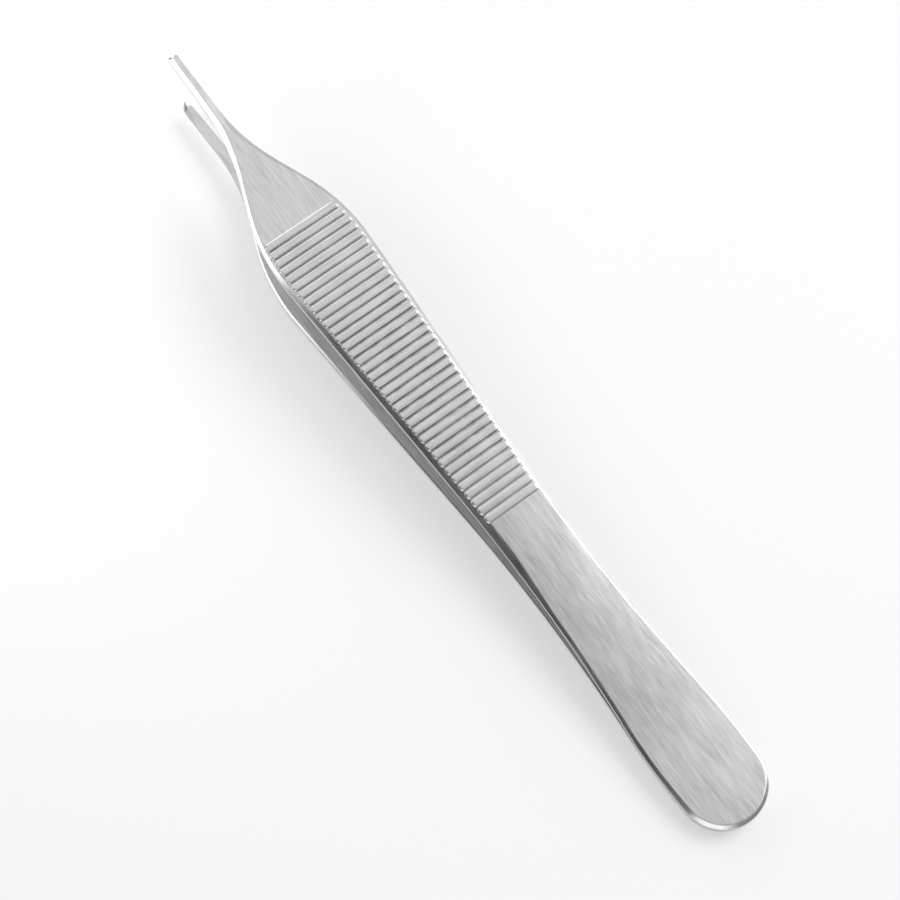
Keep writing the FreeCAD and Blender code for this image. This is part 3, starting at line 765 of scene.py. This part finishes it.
# %% The surroundings
world = bpy.data.worlds.new("studio")
bpy.context.scene.world = world
world.use_nodes = True
tree = world.node_tree
background = tree.nodes["Background"]
direction = node(tree, "ShaderNodeTexCoord")["Generated"]
aim = node(tree, "ShaderNodeSeparateXYZ", inputs={"Vector": direction})
x, y, z = (aim[k] for k in "XYZ")
to_tips, past_tips = x.ramp(-0.15, 0.25), x.ramp(0.4, 0.62)
to_right = y.ramp(-0.05, -0.45) * x.ramp(0.35, 0.1)
sky = 0.49 + to_tips * 0.52 + to_right * 0.35 - past_tips * 0.2
right_low = 0.75 + x.ramp(-0.5, -0.3) * x.ramp(0.22, 0.06) * 1.15
tail_low = x.ramp(-0.35, -0.65) * y.ramp(0.45, 0.25)
ring = 0.7 + y.ramp(-0.5, -0.75) * (right_low - 0.7) - tail_low * 0.4
low = z.ramp(0.62, 0.42)
shut = y.ramp(0.06, 0.28) * x.ramp(-0.25, -0.1)
wing = y.ramp(0.15, 0.4) * x.ramp(-0.12, -0.3)
tips_low = x.ramp(0.74, 0.86) * y.ramp(-0.55, -0.35) * y.ramp(0.2, 0.05)
glow = (sky + low * (ring - sky)) * (1.0 - shut * 0.97) + wing
glow = glow + tips_low * (2.1 - glow)
camera_ray = node(tree, "ShaderNodeLightPath")["Is Camera Ray"]
glow = glow + camera_ray * (0.95 - glow)
shade = node(tree, "ShaderNodeCombineColor", inputs={"Red": glow, "Green": glow, "Blue": glow})["Color"]
plug(background.inputs["Color"], shade)
plug(background.inputs["Strength"], 1.0)
print("world nodes", len(tree.nodes))


# %% [markdown]
# Two lamps do the rest: the large soft light for the shadow, and a small card close over the tips
# that whitens the left bevel of the beak.

# %% The lamps
def softbox(name, place, target, wide, high, watts):
    """A rectangular soft light at a place in millimetres, turned to a target."""
    light = bpy.data.lights.new(name, "AREA")
    light.shape, light.size, light.size_y, light.energy = "RECTANGLE", wide / 1000, high / 1000, watts
    lamp = bpy.data.objects.new(name, light)
    bpy.context.scene.collection.objects.link(lamp)
    place, target = Vector(place) / 1000, Vector(target) / 1000
    lamp.location = place
    lamp.rotation_euler = (place - target).to_track_quat("Z", "Y").to_euler()
    lamp.visible_camera = False
    return lamp


softbox("right_softbox", (-60, -300, 330), (0, 0, 0), 260, 220, 0.85)
softbox("tip_card", (73, 52, 68), (50, 0, 12), 62, 46, 0.024)

# %% [markdown]
# ## The camera
# The photograph looks down on the tool from above its left side, with the tips at the upper left
# of the picture. The place and the turn of the camera were fitted to the outlines of the photo.

# %% The camera
place = Vector((-81.73, 44.15, 236.28)) / 1000
right = Vector((-0.58787, -0.8073, -0.05171))
up = Vector((0.74338, -0.56434, 0.35903))
back = right.cross(up).normalized()
up = back.cross(right).normalized()
camera_data = bpy.data.cameras.new("camera")
camera_data.lens, camera_data.sensor_width = 80.0, 36.0
camera_data.clip_start, camera_data.clip_end = 0.01, 20.0
camera = bpy.data.objects.new("camera", camera_data)
bpy.context.scene.collection.objects.link(camera)
axes = Matrix((right.normalized(), up, back)).transposed()
camera.matrix_world = Matrix.Translation(place) @ axes.to_4x4()
bpy.context.scene.camera = camera
bpy.context.scene.view_settings.view_transform = "Standard"
print("camera at", [round(c * 1000, 1) for c in place])

# %% [markdown]
# ## Bringing the scene up to date
# The scene is brought up to date at the end.

# %% Updating the scene
bpy.context.view_layer.update()
